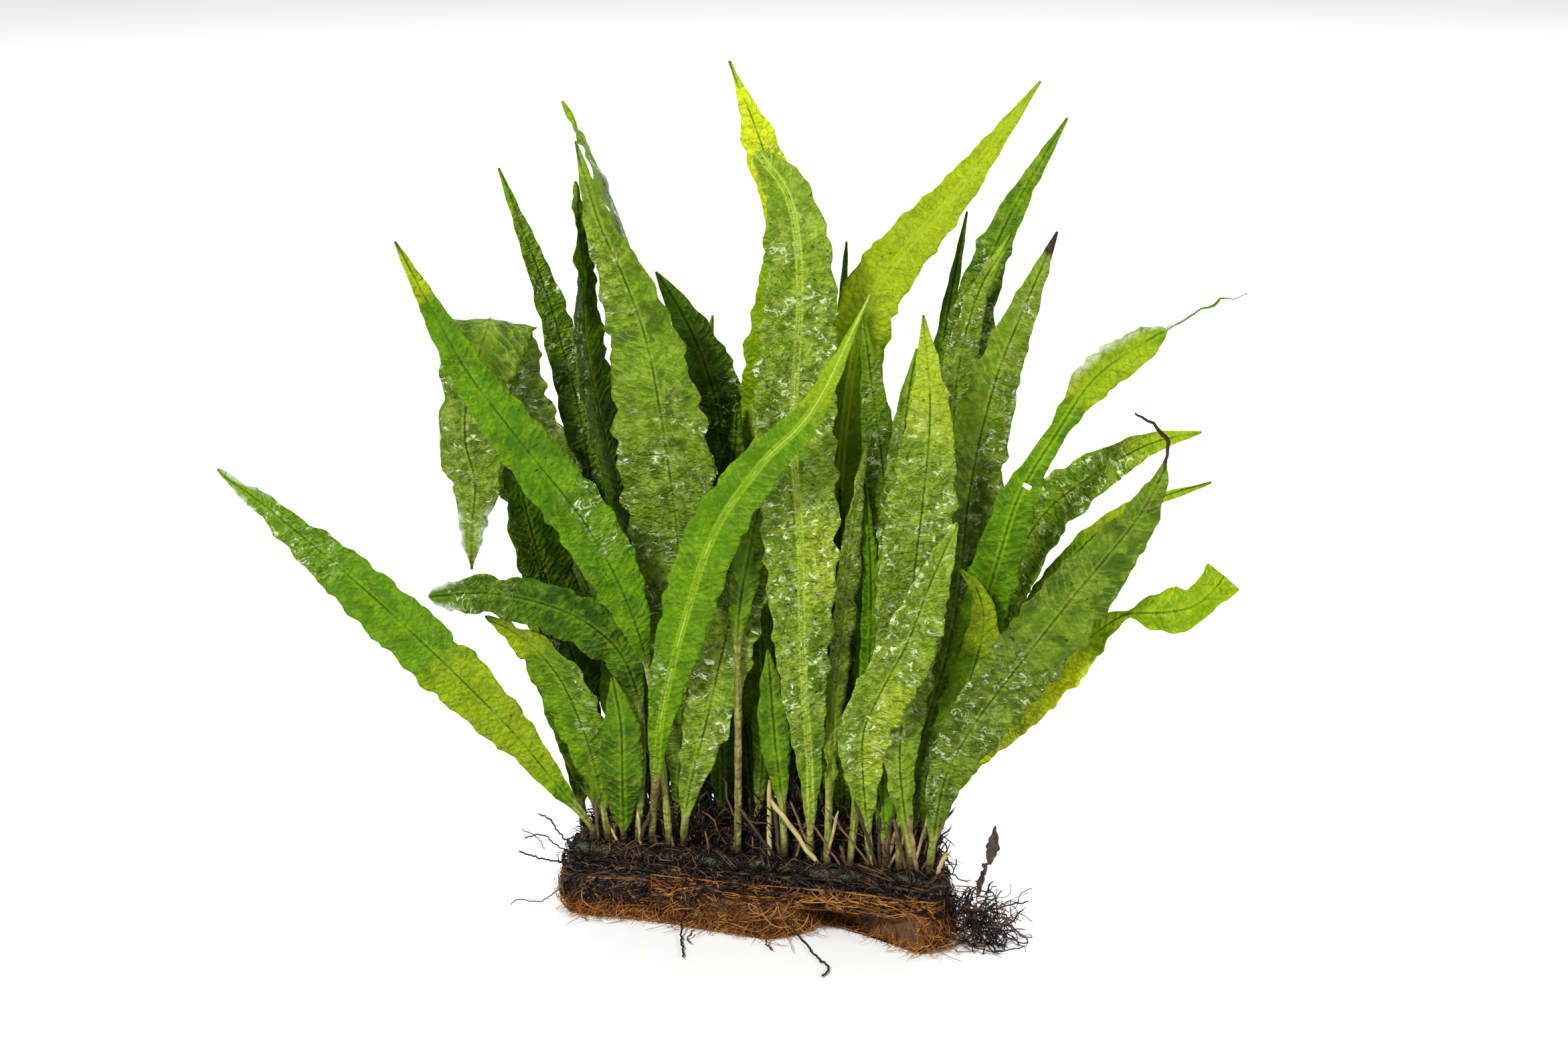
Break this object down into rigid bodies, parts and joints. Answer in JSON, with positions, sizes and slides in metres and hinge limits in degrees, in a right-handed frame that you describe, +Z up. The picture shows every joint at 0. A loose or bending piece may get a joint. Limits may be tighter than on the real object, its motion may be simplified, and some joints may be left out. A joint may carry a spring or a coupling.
{
  "type": "java fern",
  "caption": "Aquarium fern with upright strap-shaped fronds on creeping rhizomes, its dark roots holding a small flat coir mat.",
  "frame": {"origin": "on the coir mat's flat underside, at the middle of the mat", "axes": "+X along the mat and the rhizomes, -Y towards the viewer, +Z up through the fronds"},
  "size_m": [0.2953, 0.1514, 0.2553],
  "materials": {
    "frond_bright": "gloss",
    "frond_mid": "gloss",
    "frond_grey": "gloss",
    "frond_dark": "gloss",
    "frond_yellow": "gloss",
    "rhizome": "satin",
    "roots": "matte",
    "withered": "matte",
    "coir": "matte"
  },
  "bodies": {
    "root": {"coir_mat": "coir", "root_tangle": "roots", "side_roots": "roots", "withered_frond": "withered", "rhizome_front": "rhizome", "rhizome_middle": "rhizome", "rhizome_back": "rhizome", "frond_left_long": "frond_bright", "frond_left_bright": "frond_bright", "frond_left_arched": "frond_dark", "frond_left_low": "frond_mid", "frond_left_wavy": "frond_mid", "frond_left_short": "frond_mid", "frond_left_folded": "frond_grey", "frond_left_shaded": "frond_dark", "frond_left_spire": "frond_mid", "frond_left_inner": "frond_dark", "frond_glossy_tall": "frond_grey", "frond_glossy_partner": "frond_mid", "frond_pale_edge": "frond_mid", "frond_dark_broad": "frond_dark", "frond_crossing": "frond_bright", "frond_inner_glossy": "frond_grey", "frond_inner_shaded": "frond_dark", "frond_inner_narrow": "frond_mid", "frond_inner_stalked": "frond_mid", "frond_inner_young": "frond_mid", "frond_front_tall": "frond_grey", "frond_yellow": "frond_yellow", "frond_front_second": "frond_grey", "frond_middle_short": "frond_bright", "frond_middle_ribbed": "frond_dark", "frond_middle_blade": "frond_bright", "frond_middle_shaded": "frond_dark", "frond_middle_thin": "frond_dark", "frond_upper_right": "frond_yellow", "frond_spotted": "frond_mid", "frond_right_light": "frond_grey", "frond_right_pale": "frond_grey", "frond_right_glossy": "frond_grey", "frond_right_small": "frond_mid", "frond_right_curved": "frond_mid", "frond_right_grey": "frond_grey", "frond_right_browntip": "frond_grey", "frond_right_spire": "frond_mid", "frond_right_thin": "frond_dark", "frond_right_threaded": "frond_bright", "frond_right_slant": "frond_mid", "frond_right_broad": "frond_grey", "frond_right_twisted": "frond_yellow", "frond_right_tip": "frond_mid", "frond_back_1": "frond_mid", "frond_back_2": "frond_bright", "frond_back_3": "frond_grey", "frond_back_4": "frond_mid", "frond_back_5": "frond_grey", "frond_back_6": "frond_bright", "frond_back_7": "frond_mid", "frond_back_8": "frond_mid", "frond_back_9": "frond_dark"}
  },
  "joints": []
}
